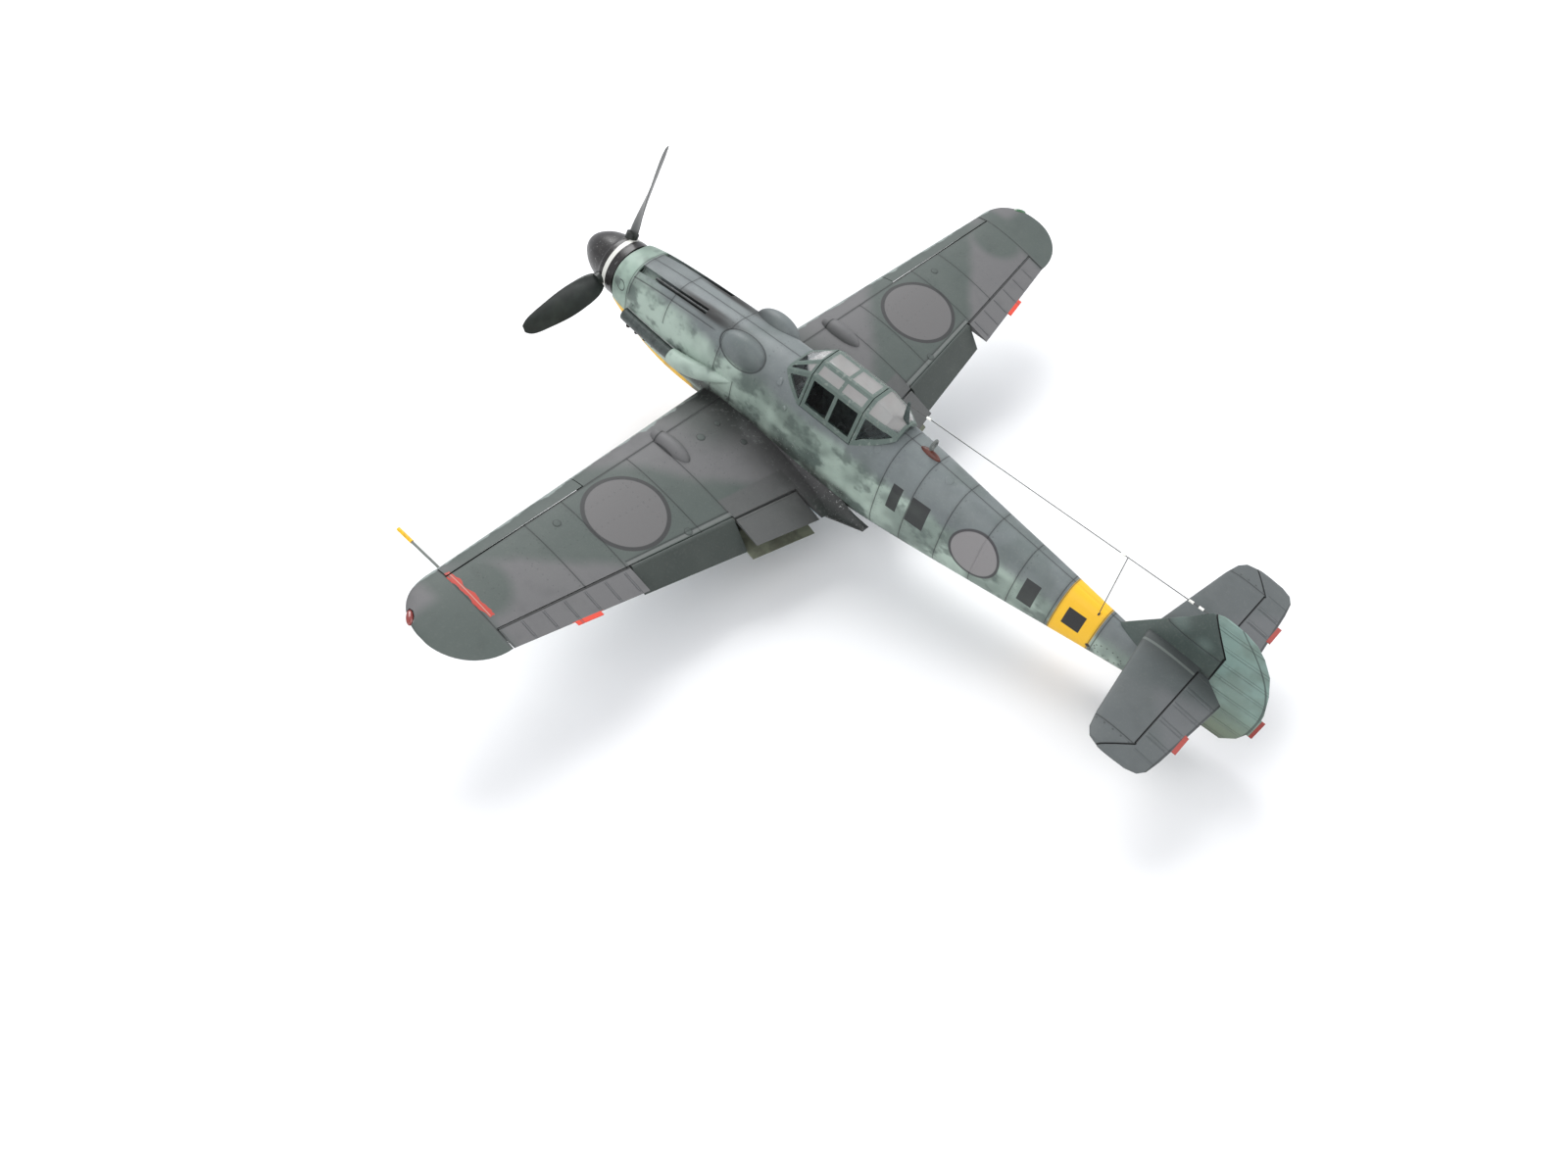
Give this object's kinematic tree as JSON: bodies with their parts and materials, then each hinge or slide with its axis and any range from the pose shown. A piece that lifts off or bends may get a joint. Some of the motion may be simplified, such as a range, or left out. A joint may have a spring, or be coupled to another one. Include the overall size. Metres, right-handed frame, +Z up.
{
  "type": "propeller plane model",
  "caption": "Low-wing single-seat propeller fighter model standing on its wheels, with moving control surfaces, opening canopy and turning propeller.",
  "frame": {"origin": "on the ground under the middle of the overall outline", "axes": "+X towards the port wing tip, +Y towards the tail, +Z up from the ground; the nose points along -Y and is pitched up"},
  "size_m": [0.31, 0.2852, 0.1076],
  "materials": {
    "body_paint": "matt paint",
    "ring_paint": "matt paint",
    "chin_paint": "matt paint",
    "wing_paint": "matt paint",
    "underside_paint": "matt paint",
    "tail_paint": "matt paint",
    "fin_paint": "matt paint",
    "spinner_paint": "satin paint",
    "blade_paint": "satin paint",
    "shaft_metal": "bare steel",
    "inside_paint": "matt paint",
    "frame_paint": "matt paint",
    "clear_glass": "clear",
    "exhaust_metal": "burnt",
    "gun_metal": "dark steel",
    "core_metal": "dull",
    "gear_paint": "matt paint",
    "rubber": "matt",
    "hub_paint": "satin paint",
    "mast_paint": "matt paint",
    "wire": "dark wire",
    "bead": "white gloss",
    "finder_paint": "satin paint",
    "pitot_paint": "matt paint",
    "lamp_plastic": "clear coloured"
  },
  "bodies": {
    "airframe": {"aerial_mast": "mast_paint", "aerial_wire": "wire", "chin_cowling": "chin_paint", "cockpit_tub": "inside_paint", "control_stick": "inside_paint", "direction_finder": "finder_paint", "exhausts": "exhaust_metal", "fin": "fin_paint", "fixed_glass": "clear_glass", "fuselage_left": "body_paint", "fuselage_right": "body_paint", "gear_doors": "gear_paint", "gear_legs": "gear_paint", "gun_barrels": "gun_metal", "gun_blisters": "body_paint", "gun_cover": "body_paint", "head_armour": "inside_paint", "instrument_panel": "inside_paint", "insulators": "bead", "intake_scoop": "body_paint", "nose_ring": "ring_paint", "pitot_tube": "pitot_paint", "radiator_cores": "core_metal", "radiator_ducts": "underside_paint", "rear_frame": "frame_paint", "seat": "inside_paint", "shaft_bearing": "inside_paint", "stabilisers": "tail_paint", "tail_leg": "gear_paint", "wheel_blisters": "wing_paint", "windscreen_frame": "frame_paint", "wing_fillets": "wing_paint", "wing_lamps": "lamp_plastic", "wing_lower": "underside_paint", "wing_tips": "wing_paint", "wing_uppers": "wing_paint"},
    "propeller": {"spinner": "spinner_paint", "spinner_backplate": "spinner_paint", "propeller_blades": "blade_paint", "propeller_shaft": "shaft_metal"},
    "canopy": {"canopy_frame": "frame_paint", "canopy_glass": "clear_glass"},
    "elevators": {"elevators": "tail_paint"},
    "rudder": {"rudder": "fin_paint"},
    "tail_fork": {"tail_fork": "gear_paint"},
    "tail_wheel": {"tail_wheel": "rubber"},
    "aileron_left": {"aileron_left": "wing_paint"},
    "flap_left": {"flap_left": "wing_paint"},
    "slat_left": {"slat_left": "wing_paint"},
    "upper_radiator_flap_left": {"radiator_upper_flap_left": "wing_paint"},
    "lower_radiator_flap_left": {"radiator_lower_flap_left": "underside_paint"},
    "wheel_left": {"tyre_left": "rubber", "hub_left": "hub_paint"},
    "aileron_right": {"aileron_right": "wing_paint"},
    "flap_right": {"flap_right": "wing_paint"},
    "slat_right": {"slat_right": "wing_paint"},
    "upper_radiator_flap_right": {"radiator_upper_flap_right": "wing_paint"},
    "lower_radiator_flap_right": {"radiator_lower_flap_right": "underside_paint"},
    "wheel_right": {"tyre_right": "rubber", "hub_right": "hub_paint"}
  },
  "joints": [
    {"name": "propeller_spin", "type": "hinge", "parent": "airframe", "child": "propeller", "pos_m": [0, -0.1274, 0.06536], "axis": [0, 0.9744, -0.225], "continuous": true},
    {"name": "aileron_left_hinge", "type": "hinge", "parent": "airframe", "child": "aileron_left", "pos_m": [0.08875, -0.03192, 0.03639], "axis": [0.9863, -0.1105, 0.1223], "range_deg": [-20, 20]},
    {"name": "aileron_right_hinge", "type": "hinge", "parent": "airframe", "child": "aileron_right", "pos_m": [-0.08875, -0.03192, 0.03639], "axis": [0.9863, 0.1105, -0.1223], "range_deg": [-20, 20]},
    {"name": "flap_left_hinge", "type": "hinge", "parent": "airframe", "child": "flap_left", "pos_m": [0.04719, -0.02727, 0.03124], "axis": [0.9863, -0.1105, 0.1223], "range_deg": [-4, 36]},
    {"name": "flap_right_hinge", "type": "hinge", "parent": "airframe", "child": "flap_right", "pos_m": [-0.04719, -0.02727, 0.03124], "axis": [0.9863, 0.1105, -0.1223], "range_deg": [-4, 36]},
    {"name": "upper_radiator_flap_left_hinge", "type": "hinge", "parent": "airframe", "child": "upper_radiator_flap_left", "pos_m": [0.02035, -0.02314, 0.02817], "axis": [0.9861, -0.1099, 0.1246], "range_deg": [-8, 20]},
    {"name": "upper_radiator_flap_right_hinge", "type": "hinge", "parent": "airframe", "child": "upper_radiator_flap_right", "pos_m": [-0.02035, -0.02314, 0.02817], "axis": [0.9861, 0.1099, -0.1246], "range_deg": [-8, 20]},
    {"name": "lower_radiator_flap_left_hinge", "type": "hinge", "parent": "airframe", "child": "lower_radiator_flap_left", "pos_m": [0.02035, -0.02477, 0.02114], "axis": [0.9861, -0.1099, 0.1246], "range_deg": [-12, 22]},
    {"name": "lower_radiator_flap_right_hinge", "type": "hinge", "parent": "airframe", "child": "lower_radiator_flap_right", "pos_m": [-0.02035, -0.02477, 0.02114], "axis": [0.9861, 0.1099, -0.1246], "range_deg": [-12, 22]},
    {"name": "elevator_hinge", "type": "hinge", "parent": "airframe", "child": "elevators", "pos_m": [0, 0.12035, 0.03061], "axis": [1, 0, 0], "range_deg": [-25, 28]},
    {"name": "rudder_hinge", "type": "hinge", "parent": "airframe", "child": "rudder", "pos_m": [0, 0.12229, 0.02375], "axis": [0, 0.225, 0.9744], "range_deg": [-25, 25]},
    {"name": "canopy_hinge", "type": "hinge", "parent": "airframe", "child": "canopy", "pos_m": [-0.0115, -0.02081, 0.05473], "axis": [0, -0.9744, 0.225], "range_deg": [0, 88]},
    {"name": "slat_left_slide", "type": "slide", "parent": "airframe", "child": "slat_left", "axis": [0, -0.9844, 0.176], "range_m": [0, 0.00313]},
    {"name": "wheel_left_spin", "type": "hinge", "parent": "airframe", "child": "wheel_left", "pos_m": [0.03219, -0.08623, 0.01031], "axis": [1, 0, 0], "continuous": true},
    {"name": "slat_right_slide", "type": "slide", "parent": "airframe", "child": "slat_right", "axis": [0, -0.9844, 0.176], "range_m": [0, 0.00313]},
    {"name": "wheel_right_spin", "type": "hinge", "parent": "airframe", "child": "wheel_right", "pos_m": [-0.03219, -0.08623, 0.01031], "axis": [1, 0, 0], "continuous": true},
    {"name": "tail_wheel_castor", "type": "hinge", "parent": "airframe", "child": "tail_fork", "pos_m": [0, 0.09904, 0.01122], "axis": [0, 0.225, 0.9744], "range_deg": [-60, 60]},
    {"name": "tail_wheel_spin", "type": "hinge", "parent": "tail_fork", "child": "tail_wheel", "pos_m": [0, 0.10134, 0.00453], "axis": [1, 0, 0], "continuous": true}
  ],
  "couplings": [
    {"joint": "aileron_right_hinge", "follows": "aileron_left_hinge", "ratio": -1},
    {"joint": "flap_right_hinge", "follows": "flap_left_hinge", "ratio": 1},
    {"joint": "upper_radiator_flap_right_hinge", "follows": "upper_radiator_flap_left_hinge", "ratio": 1},
    {"joint": "lower_radiator_flap_right_hinge", "follows": "lower_radiator_flap_left_hinge", "ratio": 1}
  ]
}
